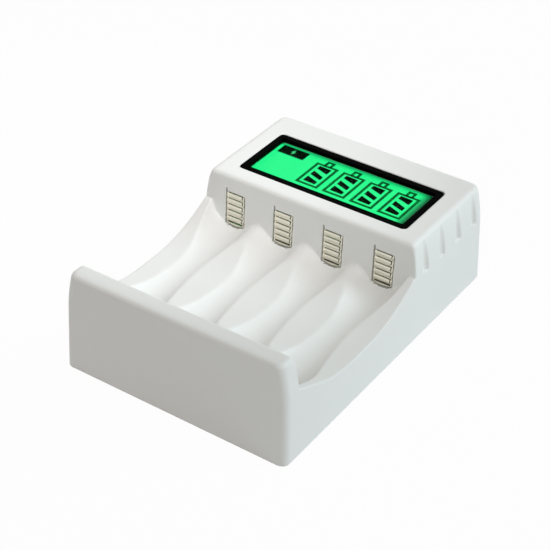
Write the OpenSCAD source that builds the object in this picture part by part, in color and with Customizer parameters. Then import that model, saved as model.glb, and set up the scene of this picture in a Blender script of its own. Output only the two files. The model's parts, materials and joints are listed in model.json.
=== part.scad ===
// Desktop charger for round cells: a moulded housing with a scalloped open bay,
// slotted contacts in the head wall, sprung contacts in the front wall and a
// lit display in the head. The front faces -Y, +Z is up, and the origin is on
// the table under the middle of the housing. Sizes are in millimetres.

/* [Housing] */
// Thickness of the side walls beside the outer troughs, at the rim
side_t = 2.85; // [2.6:0.05:6]
// Height of the housing above its rim
body_h = 29.6; // [29:0.2:36]
// Thickness of the front wall where it meets the bay
front_t = 7.3; // [6.8:0.1:10]
// Thickness of the outer walls
wall = 2; // [1.8:0.1:2.2]
// Thickness of the bay's floor and end walls
floor_t = 1.8; // [1.5:0.1:1.9]
// Radius of the upright corners
corner_r = 2.4; // [1.8:0.1:4]
// Rounding of the top edges
edge_r = 1.2; // [0.8:0.1:1.4]
// Draft of the flanks, degrees
flank_draft = 2; // [1:0.1:2.4]
// Height above the rim where the flanks start to bow inward
bow_start = 18; // [16:0.5:22]
// Radius of the bowed flanks
bow_r = 50; // [46:1:80]
// How far the front face leans back at its top
front_lean = 1.6; // [0.4:0.1:1.8]
// How far the back face leans in at its top
back_lean = 0.2; // [0.1:0.1:1]

/* [Cells] */
// Diameter of a cell
cell_d = 14.5; // [14:0.1:14.6]
// Length of a cell
cell_l = 50.5; // [48:0.5:56]
// Room in the bay for the pressed spring, past the cell's length
spring_room = 3.2; // [3:0.1:5]
// Spacing of the cells
cell_pitch = 16.1; // [16:0.05:18]
// Room around a cell in its trough
trough_gap = 0.75; // [0.5:0.05:0.78]
// Fall of the troughs towards the front, degrees
trough_fall = 3.6; // [3:0.1:4]
// Height of the trough floor at the head wall
trough_floor = 14.2; // [14:0.1:16]
// Height of the ridges between troughs above the trough floor
ridge_h = 4; // [3.6:0.1:4.6]

/* [Saddle] */
// Lowest height of the saddle that sweeps across the bay
saddle_z = 13.6; // [13.2:0.1:15]
// Distance of the saddle's low point from the front of the bay
saddle_reach = 23.6; // [22:0.2:26]
// Length of the level stretch at the low point
saddle_flat = 5.9; // [3:0.1:7]
// Radius of the saddle towards the front
saddle_front_r = 37; // [34:0.5:48]
// Radius of the saddle towards the head
saddle_rear_r = 44; // [40:0.5:60]
// Height of the side walls where they meet the head
ledge_z = 20.5; // [19.5:0.1:22]
// Lean of the bay's front wall, degrees
bay_front_lean = 0.5; // [0.2:0.1:2]
// Lean of the head wall, degrees
head_lean = 3.8; // [2:0.2:5]

/* [Head grooves] */
// Number of grooves on each flank of the head
groove_count = 4; // [2:1:4]
// Distance of the first groove behind the head wall
groove_front = 5.5; // [4:0.1:8]
// Distance of the last groove from the back
groove_back = 5.5; // [4.5:0.1:8]
// Radius of a groove
groove_r = 1.3; // [1:0.1:2]
// Depth of a groove at its lower end
groove_depth = 1.1; // [0.8:0.1:1.3]
// Height of the ledge at the foot of each groove
groove_z = 19.9; // [18:0.1:23]
// Lean of the grooves towards the middle, degrees
groove_lean = 2.5; // [1.5:0.1:5]

/* [Display] */
// Width of the display frame
display_w = 54; // [50:0.5:55]
// Depth of the display frame, front to back
display_d = 21.3; // [19:0.1:22]
// Width of the frame's border
border_w = 1.85; // [1.5:0.05:2.4]
// Distance of the frame behind the head wall
display_front = 5.85; // [5.8:0.05:9]
// Distance of the frame from the back
display_back = 9.45; // [9.2:0.05:14]
// Thickness of the display frame
frame_t = 1.2; // [1:0.05:1.3]
// Width of the ledge that carries the frame
frame_ledge = 1.6; // [1.4:0.1:1.8]
// Thickness of the display glass
glass_t = 2; // [1.4:0.1:2.4]
// Thickness of the light guide
guide_t = 2.4; // [2:0.1:3]
// Thickness of the display board
display_board_t = 1.2; // [1:0.1:1.6]

/* [Contacts] */
// Width of the opening in front of each stamped contact
slot_w = 6.4; // [5.8:0.1:7]
// Height of that opening's top edge
slot_top = 24.8; // [24:0.1:25.2]
// Width of the slit on the opening's left side
slit_w = 0.45; // [0.3:0.05:0.7]
// Rise of that slit above the opening
slit_rise = 1.1; // [0.6:0.1:1.4]
// Depth of the contact's face behind the head wall's face
contact_recess = 0.15; // [0.1:0.05:0.6]
// Thickness of the contact sheet
sheet_t = 0.5; // [0.4:0.05:0.6]
// Spacing of the contact's fingers
finger_pitch = 1.87; // [1.6:0.01:1.9]
// Number of fingers
finger_count = 5; // [4:1:5]
// Height of the cuts between the fingers
cut_h = 0.3; // [0.2:0.05:0.4]
// Width of a leaf spring
leaf_w = 5.4; // [4:0.1:5.8]
// Thickness of a leaf spring
leaf_t = 0.4; // [0.3:0.05:0.5]
// Reach of a leaf spring's crown past its pivot
crown_reach = 8.4; // [7.6:0.1:8.8]
// Height of a leaf spring's crown above its pivot
crown_rise = 9; // [8.6:0.1:9.4]

/* [Boards] */
// Thickness of the main board
board_t = 1.6; // [1.2:0.1:1.8]
// Room between the bottom cover and the main board
board_gap = 2.2; // [2:0.1:2.4]
// Thickness of the bottom cover
cover_t = 2.2; // [2:0.1:2.4]
// How far the feet stand below the rim
foot_proud = 0.4; // [0.2:0.05:0.8]
// Diameter of a foot
foot_d = 8; // [6:0.5:10]

/* [Hidden] */

$fn = 64;
// Round count for the corners of blended blocks
soft_fn = 32;
// Overshoot of cuts past a face
past = 1;
// Overshoot of the troughs past the bay's end walls, before they are trimmed to it
overrun = 6;
// Thickness of the slices that a blended block is drawn through
slice_t = 0.01;
// Clearance between pieces that drop into each other
fit_gap = 0.15;
// Clearance beside moving or soldered metal
free_gap = 0.3;

trough_r = cell_d / 2 + trough_gap;
cell_count = 4;
cell_x = [for (i = [0 : cell_count - 1]) (i - (cell_count - 1) / 2) * cell_pitch];
row_w = cell_x[cell_count - 1] - cell_x[0];
ridge_x = [cell_x[0] + cell_pitch / 2, cell_x[cell_count - 1] - cell_pitch / 2];

bay_l = cell_l + spring_room;
head_l = display_front + display_d + display_back;
body_w = row_w + 2 * (trough_r + side_t);
body_l = front_t + bay_l + head_l;
front_y = -body_l / 2;
bay_y = front_y + front_t;
head_y = bay_y + bay_l;
back_y = body_l / 2;
rim_z = foot_proud;
top_z = rim_z + body_h;
// Height at which the bay's end walls have their stated places
level_z = trough_floor + ridge_h;
saddle_y = bay_y + saddle_reach;

cover_top = rim_z + cover_t;
board_z = cover_top + board_gap;
board_top = board_z + board_t;
// Room between the main board and the outer walls
board_margin = 1.2;
board_inset = wall + board_margin;

// Screws: shank, head and boss sizes
case_shank = 2.2;
case_head = 4;
case_head_h = 1.2;
case_boss = 2.6;
case_depth = 7;
board_shank = 1.8;
board_head = 3.4;
board_head_h = 1;
board_boss = 2.1;
board_depth = 4.4;
display_shank = 1.2;
display_head = 2.4;
display_head_h = 0.8;
display_boss = 1.5;
display_depth = 4;
boss_gap = 0.05;

// Distance of the front pair of case screws behind the bay's front wall
case_front = 16;
// Distances of the board screws behind the bay's front wall
board_front = 17;
board_rear = 44;
case_spots = [
    for (s = [-1, 1], e = [0, 1]) [
        s * (e == 0 ? cell_x[cell_count - 1] + trough_r / 2 : body_w / 2 - wall - case_boss - free_gap),
        e == 0 ? bay_y + case_front : back_y - wall - back_lean - case_boss
    ]
];
board_spots = [for (x = ridge_x, d = [board_front, board_rear]) [x, bay_y + d]];

display_mid = head_y + display_front + display_d / 2;
roof_z = top_z - wall;
ledge_top = top_z - frame_t;
opening_w = display_w - 2 * frame_ledge;
opening_d = display_d - 2 * frame_ledge;
glass_lap = 1.1;
// Gap between the display glass and the lens over it
lens_gap = 0.1;
glass_w = opening_w + 2 * glass_lap;
glass_d = opening_d + 2 * glass_lap;
glass_z = roof_z - glass_t;
guide_z = glass_z - guide_t;
display_board_z = guide_z - display_board_t;
strip_w = 2;
guide_d = glass_d - 2 * (strip_w + fit_gap);
// Distance of the display screws from the ends of the display's opening
display_spot_in = 4;
display_spot_x = opening_w / 2 - display_spot_in;
display_spots = [
    for (sx = [-1, 1], sy = [-1, 1])
    [sx * display_spot_x, display_mid + sy * (glass_d / 2 + display_boss + free_gap)]
];
display_board_d = glass_d + 4 * display_boss + 2 * free_gap;

// Leaf springs: rolled end, clip, stem and tip, and the room around them
barrel_r = 0.8;
barrel_gap = 0.12;
cradle_t = 0.5;
cradle_r = barrel_r + barrel_gap;
leaf_stem = 3.4;
tip_back = 2.4;
tip_rise = 3.4;
// Rise of the tip while the spring is pressed
tip_sweep = 2.2;
leaf_room = 0.55;
stem_room = 0.6;
pivot_y = bay_y - floor_t - leaf_t / 2 - stem_room;
pivot_z = board_top + cradle_t + cradle_r;

// Inward shift of the flanks at a height above the rim
function bow(h) = h > bow_start ? bow_r - sqrt(pow(bow_r, 2) - pow(h - bow_start, 2)) : 0;
function flank(h) = h * tan(flank_draft) + bow(h);
function front_in(h) = front_lean * h / body_h;
function back_in(h) = back_lean * h / body_h;
// Places of the bay's two end walls at a height
function bay_front_at(z) = bay_y - (z - level_z) * tan(bay_front_lean);
function head_wall_at(z) = head_y + (z - level_z) * tan(head_lean);

// One rounded-corner slice of the housing at height h, drawn in by inset
module slice(h, inset) {
    half_w = body_w / 2 - flank(h) - inset - corner_r;
    y0 = front_y + front_in(h) + inset + corner_r;
    y1 = back_y - back_in(h) - inset - corner_r;
    for (x = [-half_w, half_w], y = [y0, y1])
        translate([x, y, rim_z + h])
            cylinder(r = corner_r, h = slice_t, $fn = soft_fn);
}

// The housing's outer form, or a form parallel to it inside by inset
module block(inset) {
    straight = body_h - inset - edge_r;
    steps = 4;
    hull() {
        slice(0, inset);
        for (i = [0 : steps])
            slice(bow_start + (straight - bow_start) * i / steps, inset);
        for (a = [30, 60, 90])
            slice(straight + edge_r * sin(a) - slice_t, inset + edge_r * (1 - cos(a)));
    }
}

// Draws a side-view outline right across the housing
module across() {
    rotate([90, 0, 90])
        linear_extrude(height = body_w + 2 * past, center = true)
            children();
}

// Side view of the space between the bay's end walls, grown by g
module bay_reach(g) {
    low = rim_z;
    high = top_z + past;
    polygon([
        [bay_front_at(low) - g, low], [head_wall_at(low) + g, low],
        [head_wall_at(high) + g, high], [bay_front_at(high) - g, high]
    ]);
}

// Side view of the saddle: two arcs, a level stretch and a ledge at the head
module saddle(g) {
    rear_y = saddle_y + saddle_flat;
    intersection() {
        translate([saddle_y, saddle_z + saddle_front_r]) circle(r = saddle_front_r + g, $fn = 180);
        translate([saddle_y - body_l, 0]) square([body_l, body_l]);
    }
    translate([saddle_y - past, saddle_z - g]) square([saddle_flat + 2 * past, body_l]);
    intersection() {
        translate([rear_y, saddle_z + saddle_rear_r]) circle(r = saddle_rear_r + g, $fn = 180);
        translate([rear_y, 0]) square([body_l, body_l]);
    }
    translate([rear_y, ledge_z - g]) square([body_l, body_l]);
}

// Rounds off the top corner of a wall that ends at y, on its side s
module top_round(y, s) {
    r = edge_r;
    translate([y, top_z])
        difference() {
            translate([s > 0 ? -r : -past, -r]) square([r + past, r + past]);
            translate([-s * r, -r]) circle(r = r);
        }
}

// Places things in the tilted frame of the troughs, at the head wall
module trough_frame() {
    translate([0, head_y, trough_floor])
        rotate([trough_fall, 0, 0])
            children();
}

// One open trough, a round floor with upright sides, grown by g
module trough(x, g) {
    r = trough_r + g;
    trough_frame()
        translate([x, overrun, trough_r])
            rotate([90, 0, 0])
                linear_extrude(height = bay_l + 2 * overrun) {
                    circle(r = r);
                    translate([-r, 0]) square([2 * r, body_h]);
                }
}

// The whole space for the cells, grown by g
module bay(g) {
    intersection() {
        across() bay_reach(g);
        union() {
            across() saddle(g);
            for (x = cell_x)
                trough(x, g);
            trough_frame()
                translate([cell_x[0], -bay_l - overrun, ridge_h - g])
                    cube([row_w, bay_l + 2 * overrun, body_h]);
        }
    }
}

// Frame of a stamped contact: on the head wall's face, leaning with it
module contact_frame(x) {
    translate([x, head_y, level_z])
        rotate([-head_lean, 0, 0])
            children();
}

slot_rise = (slot_top - level_z) / cos(head_lean);
// Start of the opening in front of the wall's face, and drop of its foot below the trough
slot_lead = 0.1;
slot_drop = 0.25;
// Gap under the contact's face
contact_lift = 0.15;
// Roundness of the fingers and how far they bulge from the face
finger_r = 0.95;
finger_bulge = 0.2;
// Sheet left beside the cuts, length of their turned-down ends and height of the top and lowest cuts
cut_margin = 0.45;
cut_turn = 1.05;
end_cut_h = 0.5;
// Place and width of the contact's face in its opening
face_x = slit_w - slot_w / 2;
face_w = slot_w - slit_w - fit_gap;
// Lap of the flange behind the head wall, and its tail to the main board
flange_lap = 1.2;
flange_end = slot_w / 2 + flange_lap;
flange_y = floor_t + boss_gap;
tail_w = 3;
tail_l = 2.4;
tail_y = head_wall_at(board_top) + flange_y / cos(head_lean);

// Opening in the head wall in front of a contact, rounded along the trough, with its slit
module contact_slot(x) {
    intersection() {
        contact_frame(x)
            translate([-slot_w / 2, -slot_lead, -2 * ridge_h]) {
                cube([slot_w, wall + past, slot_rise + 2 * ridge_h]);
                cube([slit_w, wall + past, slot_rise + slit_rise + 2 * ridge_h]);
            }
        trough(x, slot_drop);
    }
}

// Opening in the bay's front wall for a leaf spring
module leaf_slot(x) {
    w = leaf_w + 2 * leaf_room;
    z0 = pivot_z + leaf_stem;
    z1 = pivot_z + crown_rise + tip_rise + tip_sweep;
    translate([x - w / 2, front_y + wall + front_lean + free_gap, z0])
        cube([w, front_t + 2 * past - wall - front_lean, z1 - z0]);
}

// Rounded rectangle plate centred on the display
module display_plate(w, d, r, z, t) {
    translate([0, display_mid, z])
        linear_extrude(height = t) {
            square([w - 2 * r, d], center = true);
            square([w, d - 2 * r], center = true);
            for (sx = [-1, 1], sy = [-1, 1])
                translate([sx * (w / 2 - r), sy * (d / 2 - r)])
                    circle(r = r);
        }
}

socket_w = 8.9;
socket_h = 3.2;
socket_l = 7.4;
socket_t = 0.3;
// Depth of the power socket's mouth behind the back face
socket_sunk = 0.6;
socket_y = back_y - socket_sunk - socket_l;
socket_z = board_top + socket_h / 2;

// Flat-sided tube outline of the power socket, along Y
module socket_bar(w, h, l) {
    rotate([-90, 0, 0])
        linear_extrude(height = l) {
            square([w - h, h], center = true);
            for (s = [-1, 1])
                translate([s * (w - h) / 2, 0])
                    circle(d = h);
        }
}

// Grooves on both flanks of the head that run out to a point at the top edge
module grooves() {
    foot_x = body_w / 2 - flank(groove_z - rim_z) - groove_depth + groove_r;
    pitch = (head_l - groove_front - groove_back) / (groove_count - 1);
    for (i = [0 : groove_count - 1], s = [-1, 1])
        translate([s * foot_x, head_y + groove_front + i * pitch, groove_z])
            rotate([0, -s * groove_lean, 0])
                cylinder(r = groove_r, h = body_h);
}

module shell_bosses() {
    for (p = case_spots)
        translate([p[0], p[1], cover_top])
            cylinder(r = case_boss, h = (p[1] > head_y ? roof_z : trough_floor) - cover_top);
    for (p = board_spots)
        translate([p[0], p[1], board_top])
            cylinder(r = board_boss, h = level_z - board_top);
    for (p = display_spots)
        translate([p[0], p[1], display_board_z + display_board_t])
            cylinder(r = display_boss, h = roof_z + past - display_board_z - display_board_t);
}

module shell_bores() {
    for (p = case_spots)
        translate([p[0], p[1], cover_top - past])
            cylinder(d = case_shank + 2 * boss_gap, h = case_depth + past);
    for (p = board_spots)
        translate([p[0], p[1], board_top - past])
            cylinder(d = board_shank + 2 * boss_gap, h = board_depth + past);
    for (p = display_spots)
        translate([p[0], p[1], display_board_z])
            cylinder(d = display_shank + 2 * boss_gap, h = display_depth);
}

module top_shell() {
    color([0.93, 0.93, 0.92])
        difference() {
            union() {
                difference() {
                    block(0);
                    difference() {
                        union() {
                            block(wall);
                            translate([0, 0, -past]) hull() slice(0, wall);
                        }
                        bay(floor_t);
                    }
                }
                shell_bosses();
            }
            bay(0);
            across() {
                top_round(bay_front_at(top_z), 1);
                top_round(head_wall_at(top_z), -1);
            }
            for (x = cell_x) {
                contact_slot(x);
                leaf_slot(x);
            }
            display_plate(display_w, display_d, corner_r / 2, ledge_top, frame_t + past);
            display_plate(opening_w, opening_d, corner_r / 4, roof_z - past, wall + 2 * past);
            grooves();
            translate([0, socket_y, socket_z])
                socket_bar(socket_w + 2 * free_gap, socket_h + 2 * free_gap, body_l);
            shell_bores();
        }
}

foot_inset = 9;
foot_spots = [
    for (sx = [-1, 1], sy = [-1, 1])
    [sx * (body_w / 2 - foot_inset), sy * (body_l / 2 - foot_inset - foot_d / 2)]
];
foot_depth = 1;
// Vents under the charge transistors
vent_count = 7;
vent_pitch = 4;
vent_l = 16;
vent_w = 1.6;

module bottom_cover() {
    gap = wall + fit_gap;
    color([0.9, 0.9, 0.89])
        difference() {
            intersection() {
                hull() {
                    slice(0, gap);
                    slice(cover_t, gap);
                }
                translate([-body_w, -body_l, rim_z]) cube([2 * body_w, 2 * body_l, cover_t]);
            }
            for (p = case_spots)
                translate([p[0], p[1], rim_z - past]) {
                    cylinder(d = case_shank + 2 * fit_gap, h = cover_t + 2 * past);
                    cylinder(d = case_head + 2 * fit_gap, h = case_head_h + fit_gap + past);
                }
            for (p = foot_spots)
                translate([p[0], p[1], rim_z - past])
                    cylinder(d = foot_d + 2 * fit_gap, h = foot_depth + past);
            for (i = [0 : vent_count - 1])
                translate([-vent_l / 2, head_y + (i - (vent_count - 1) / 2) * vent_pitch, rim_z - past])
                    cube([vent_l, vent_w, cover_t + 2 * past]);
        }
}

module rubber_feet() {
    color([0.16, 0.16, 0.17])
        for (p = foot_spots)
            translate([p[0], p[1], 0])
                cylinder(d = foot_d, h = rim_z + foot_depth);
}

// A round-headed screw that points up, with its head's seat at z
module screw(p, z, shank, head, head_h, l) {
    translate([p[0], p[1], z]) {
        cylinder(d = shank, h = l);
        difference() {
            translate([0, 0, -head_h]) cylinder(d = head, h = head_h);
            for (a = [0, 90])
                rotate([0, 0, a])
                    translate([-head / 3, -head / 12, -head_h - past])
                        cube([2 * head / 3, head / 6, past + head_h / 2]);
        }
    }
}

module case_screws() {
    seat = rim_z + case_head_h + fit_gap;
    color([0.62, 0.62, 0.64])
        for (p = case_spots)
            screw(p, seat, case_shank, case_head, case_head_h, case_depth + cover_top - seat - fit_gap);
}

module board_screws() {
    color([0.62, 0.62, 0.64])
        for (p = board_spots)
            screw(p, board_z, board_shank, board_head, board_head_h, board_t + board_depth - fit_gap);
}

module display_screws() {
    color([0.62, 0.62, 0.64])
        for (p = display_spots)
            screw(p, display_board_z, display_shank, display_head, display_head_h, display_depth - fit_gap);
}

module main_board() {
    w = body_w - 2 * board_inset - 2 * flank(board_top - rim_z);
    y0 = front_y + board_inset;
    y1 = back_y - board_inset;
    color([0.1, 0.35, 0.2])
        difference() {
            translate([-w / 2, y0, board_z]) cube([w, y1 - y0, board_t]);
            for (p = case_spots)
                translate([p[0], p[1], board_z - past])
                    cylinder(r = case_boss + free_gap, h = board_t + 2 * past);
            for (p = [case_spots[1], case_spots[3]])
                translate([p[0] > 0 ? p[0] : -body_w, p[1] - case_boss - free_gap, board_z - past])
                    cube([body_w + (p[0] > 0 ? 0 : p[0]), body_l, board_t + 2 * past]);
            for (p = board_spots)
                translate([p[0], p[1], board_z - past])
                    cylinder(d = board_shank + 2 * fit_gap, h = board_t + 2 * past);
        }
}

display_board_lap = 0.5;
display_board_w = glass_w + 2 * display_board_lap;

module display_board() {
    color([0.1, 0.35, 0.2])
        difference() {
            translate([-display_board_w / 2, display_mid - display_board_d / 2, display_board_z])
                cube([display_board_w, display_board_d, display_board_t]);
            for (p = display_spots)
                translate([p[0], p[1], display_board_z - past])
                    cylinder(d = display_shank + 2 * fit_gap, h = display_board_t + 2 * past);
        }
}

module display_frame() {
    w = display_w - 2 * fit_gap;
    d = display_d - 2 * fit_gap;
    color([0.03, 0.03, 0.03])
        difference() {
            display_plate(w, d, corner_r / 2 - fit_gap, ledge_top, frame_t);
            display_plate(display_w - 2 * border_w, display_d - 2 * border_w, corner_r / 4,
                ledge_top - past, frame_t + 2 * past);
        }
}

module display_lens() {
    color([0.85, 0.95, 0.9, 0.4])
        display_plate(opening_w - 2 * fit_gap, opening_d - 2 * fit_gap, corner_r / 4 - fit_gap,
            roof_z + lens_gap, ledge_top - roof_z - lens_gap);
}

module display_glass() {
    color([0.15, 0.95, 0.55])
        translate([-glass_w / 2, display_mid - glass_d / 2, glass_z])
            cube([glass_w, glass_d, glass_t]);
}

led_l = 3;
led_w = 1.6;
guide_w = glass_w - 2 * (led_w + 2 * fit_gap);

module light_guide() {
    color([0.92, 0.96, 0.93])
        translate([-guide_w / 2, display_mid - guide_d / 2, guide_z])
            cube([guide_w, guide_d, guide_t]);
}

module backlights() {
    color([0.95, 0.9, 0.6])
        for (s = [-1, 1], i = [-1 : 1])
            translate([s * (guide_w / 2 + fit_gap + led_w / 2), display_mid + i * guide_d / 3, guide_z])
                translate([-led_w / 2, -led_l / 2, 0])
                    cube([led_w, led_l, guide_t - 2 * fit_gap]);
}

module edge_connectors() {
    color([0.35, 0.36, 0.4])
        for (s = [-1, 1])
            translate([-guide_w / 2, display_mid + s * (glass_d - strip_w) / 2 - strip_w / 2, guide_z])
                cube([guide_w, strip_w, guide_t]);
}

pin_count = 8;
pin_pitch = 2.54;
pin_t = 0.64;
pin_y = display_mid - glass_d / 4;
pin_x = [for (i = [0 : pin_count - 1]) (i - (pin_count - 1) / 2) * pin_pitch];
link_h = 2.5;

module link_pins() {
    color([0.8, 0.7, 0.4])
        for (x = pin_x)
            translate([x - pin_t / 2, pin_y - pin_t / 2, board_top])
                cube([pin_t, pin_t, display_board_z - board_top]);
}

module link_strip() {
    hole = pin_t + 2 * boss_gap;
    color([0.08, 0.08, 0.09])
        difference() {
            translate([-pin_count * pin_pitch / 2, pin_y - pin_pitch / 2, board_top])
                cube([pin_count * pin_pitch, pin_pitch, link_h]);
            for (x = pin_x)
                translate([x - hole / 2, pin_y - hole / 2, board_top - past])
                    cube([hole, hole, link_h + 2 * past]);
        }
}

// Distance of the chip and the supply parts behind the link strip, and room beside the transistors
chip_gap = 2;
part_gap = 1.2;
chip = [6.2, 10, 1.6];
transistor = [4.4, 3.6, 1.6];
chip_y = pin_y + pin_pitch / 2 + chip_gap + chip[1] / 2;

module controller_chip() {
    lead = [1.2, 0.45, 0.7];
    lead_pitch = 1.2;
    leads = 8;
    color([0.07, 0.07, 0.08])
        translate([-chip[0] / 2, chip_y - chip[1] / 2, board_top])
            cube(chip);
    color([0.75, 0.75, 0.76])
        for (i = [0 : leads - 1], s = [0, 1])
            translate([
                s == 0 ? -chip[0] / 2 - lead[0] : chip[0] / 2,
                chip_y + (i - (leads - 1) / 2) * lead_pitch - lead[1] / 2,
                board_top
            ])
                cube(lead);
}

module charge_transistors() {
    color([0.09, 0.09, 0.1])
        for (x = cell_x)
            translate([x - transistor[0] / 2, tail_y + tail_l + part_gap, board_top])
                cube(transistor);
}

// Distance of the supply parts from the housing's flanks, and so from the middle
supply_in = 16;
supply_x = body_w / 2 - supply_in;

module inductor() {
    rim_d = 10;
    core_d = 7;
    coil_h = 6.4;
    rim_t = 1.2;
    color([0.2, 0.2, 0.21])
        translate([-supply_x, chip_y, board_top]) {
            cylinder(d = core_d, h = coil_h);
            for (z = [0, coil_h - rim_t])
                translate([0, 0, z])
                    cylinder(d = rim_d, h = rim_t);
        }
}

module capacitors() {
    can_d = 6.3;
    neck_d = 5.9;
    can_h = 8;
    base_h = 1;
    neck_h = 0.6;
    color([0.7, 0.71, 0.73])
        for (s = [-1, 1])
            translate([supply_x + s * (can_d + part_gap) / 2, chip_y, board_top]) {
                cylinder(d = can_d, h = base_h);
                cylinder(d = neck_d, h = base_h + neck_h);
                translate([0, 0, base_h + neck_h])
                    cylinder(d = can_d, h = can_h - base_h - neck_h);
            }
}

module power_socket() {
    color([0.72, 0.72, 0.74])
        translate([0, socket_y, socket_z])
            difference() {
                socket_bar(socket_w, socket_h, socket_l);
                translate([0, socket_t, 0])
                    socket_bar(socket_w - 2 * socket_t, socket_h - 2 * socket_t, socket_l);
            }
}

module socket_tongue() {
    tongue_sunk = 1.1;
    tongue = [6.6, socket_l - socket_t - tongue_sunk, 0.7];
    color([0.06, 0.06, 0.07])
        translate([-tongue[0] / 2, socket_y + socket_t, socket_z - tongue[2] / 2])
            cube(tongue);
}

// Cut above finger i of a contact, from its face's top left corner, with its right end turned down
module finger_cut(i) {
    cut_w = face_w - 2 * cut_margin;
    h = i == 0 || i == finger_count ? end_cut_h : cut_h;
    translate([cut_margin, -past, -i * finger_pitch - h / 2])
        cube([cut_w, sheet_t + 2 * past, h]);
    if (i < finger_count)
        translate([cut_margin + cut_w - cut_h, -past, -i * finger_pitch - cut_turn])
            cube([cut_h, sheet_t + 2 * past, cut_turn]);
}

// Stamped contact: a face cut into bulged fingers in the head wall's opening, a flange and a soldered tail
module positive_contact(x) {
    face_top = slot_rise - fit_gap;
    face_low = -(level_z - trough_floor) / cos(head_lean) + fit_gap;
    face_h = face_top - face_low;
    finger_y = contact_recess + finger_r - finger_bulge;
    tail_low = -(level_z - board_top) / cos(head_lean) + flange_y * tan(head_lean) + boss_gap;
    color([0.82, 0.79, 0.7]) {
        intersection() {
            contact_frame(x)
                difference() {
                    union() {
                        translate([face_x, contact_recess, face_low])
                            cube([face_w, flange_y + sheet_t - contact_recess, face_h]);
                        for (i = [0 : finger_count - 1])
                            translate([face_x, finger_y, face_top - (i + 0.5) * finger_pitch])
                                rotate([0, 90, 0])
                                    cylinder(r = finger_r, h = face_w);
                    }
                    translate([face_x + sheet_t, contact_recess + sheet_t, face_low - past])
                        cube([face_w - 2 * sheet_t, flange_y, face_h - sheet_t + past]);
                    for (i = [0 : finger_count])
                        translate([face_x, contact_recess, face_top])
                            finger_cut(i);
                }
            trough(x, -contact_lift);
        }
        contact_frame(x)
            difference() {
                translate([face_x, flange_y, face_low])
                    cube([flange_end - face_x, sheet_t, face_h]);
                translate([face_x + sheet_t, flange_y - past, face_low - past])
                    cube([face_w - 2 * sheet_t, sheet_t + 2 * past, face_h - sheet_t + past]);
            }
        contact_frame(x)
            translate([flange_end - tail_w, flange_y, tail_low])
                cube([tail_w, sheet_t, face_low - tail_low + sheet_t]);
        translate([x + flange_end - tail_w, tail_y, board_top])
            cube([tail_w, tail_l, sheet_t]);
    }
}

module positive_contact_1() { positive_contact(cell_x[0]); }
module positive_contact_2() { positive_contact(cell_x[1]); }
module positive_contact_3() { positive_contact(cell_x[2]); }
module positive_contact_4() { positive_contact(cell_x[3]); }

// Clips on the main board that hold the rolled ends of the leaf springs
module spring_cradles() {
    outer = cradle_r + cradle_t;
    mouth = barrel_r + free_gap;
    color([0.78, 0.72, 0.5])
        for (x = cell_x)
            translate([x, pivot_y, pivot_z])
                rotate([90, 0, 90])
                    linear_extrude(height = leaf_w, center = true)
                        difference() {
                            union() {
                                circle(r = outer);
                                translate([-outer, -cradle_r - cradle_t]) square([2 * outer, outer]);
                            }
                            circle(r = cradle_r);
                            translate([-mouth, 0]) square([2 * mouth, outer + past]);
                        }
}

// Strip of spring sheet between two points of its side view
module leaf_run(a, b) {
    d = b - a;
    translate(a)
        rotate(atan2(d[1], d[0]))
            translate([0, -leaf_t / 2])
                square([norm(d), leaf_t]);
    translate(b) circle(d = leaf_t);
}

// Leaf spring: a rolled end on its pivot, a stem, a crown that meets the cell and a turned-back tip
module negative_spring(x) {
    stem = [0, leaf_stem];
    crown = [crown_reach, crown_rise];
    tip = [crown_reach - tip_back, crown_rise + tip_rise];
    color([0.8, 0.8, 0.79])
        translate([x, pivot_y, pivot_z])
            rotate([90, 0, 90])
                linear_extrude(height = leaf_w, center = true) {
                    circle(r = barrel_r);
                    leaf_run([0, 0], stem);
                    leaf_run(stem, crown);
                    leaf_run(crown, tip);
                }
}

module negative_spring_1() { negative_spring(cell_x[0]); }
module negative_spring_2() { negative_spring(cell_x[1]); }
module negative_spring_3() { negative_spring(cell_x[2]); }
module negative_spring_4() { negative_spring(cell_x[3]); }

top_shell();
bottom_cover();
rubber_feet();
case_screws();
main_board();
board_screws();
display_board();
display_screws();
display_frame();
display_lens();
display_glass();
light_guide();
backlights();
edge_connectors();
link_pins();
link_strip();
controller_chip();
charge_transistors();
inductor();
capacitors();
power_socket();
socket_tongue();
spring_cradles();
positive_contact_1();
positive_contact_2();
positive_contact_3();
positive_contact_4();
negative_spring_1();
negative_spring_2();
negative_spring_3();
negative_spring_4();
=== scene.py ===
"""Looks of a desktop charger for round cells: moulded housing, contacts, leaf springs and lit display.

The frame gives the places. The housing is worked out in millimetres and put into its mesh in metres.
"""
import json
import math
from itertools import compress

import bmesh
import bpy
import numpy as np
from mathutils import Matrix, Vector


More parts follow.
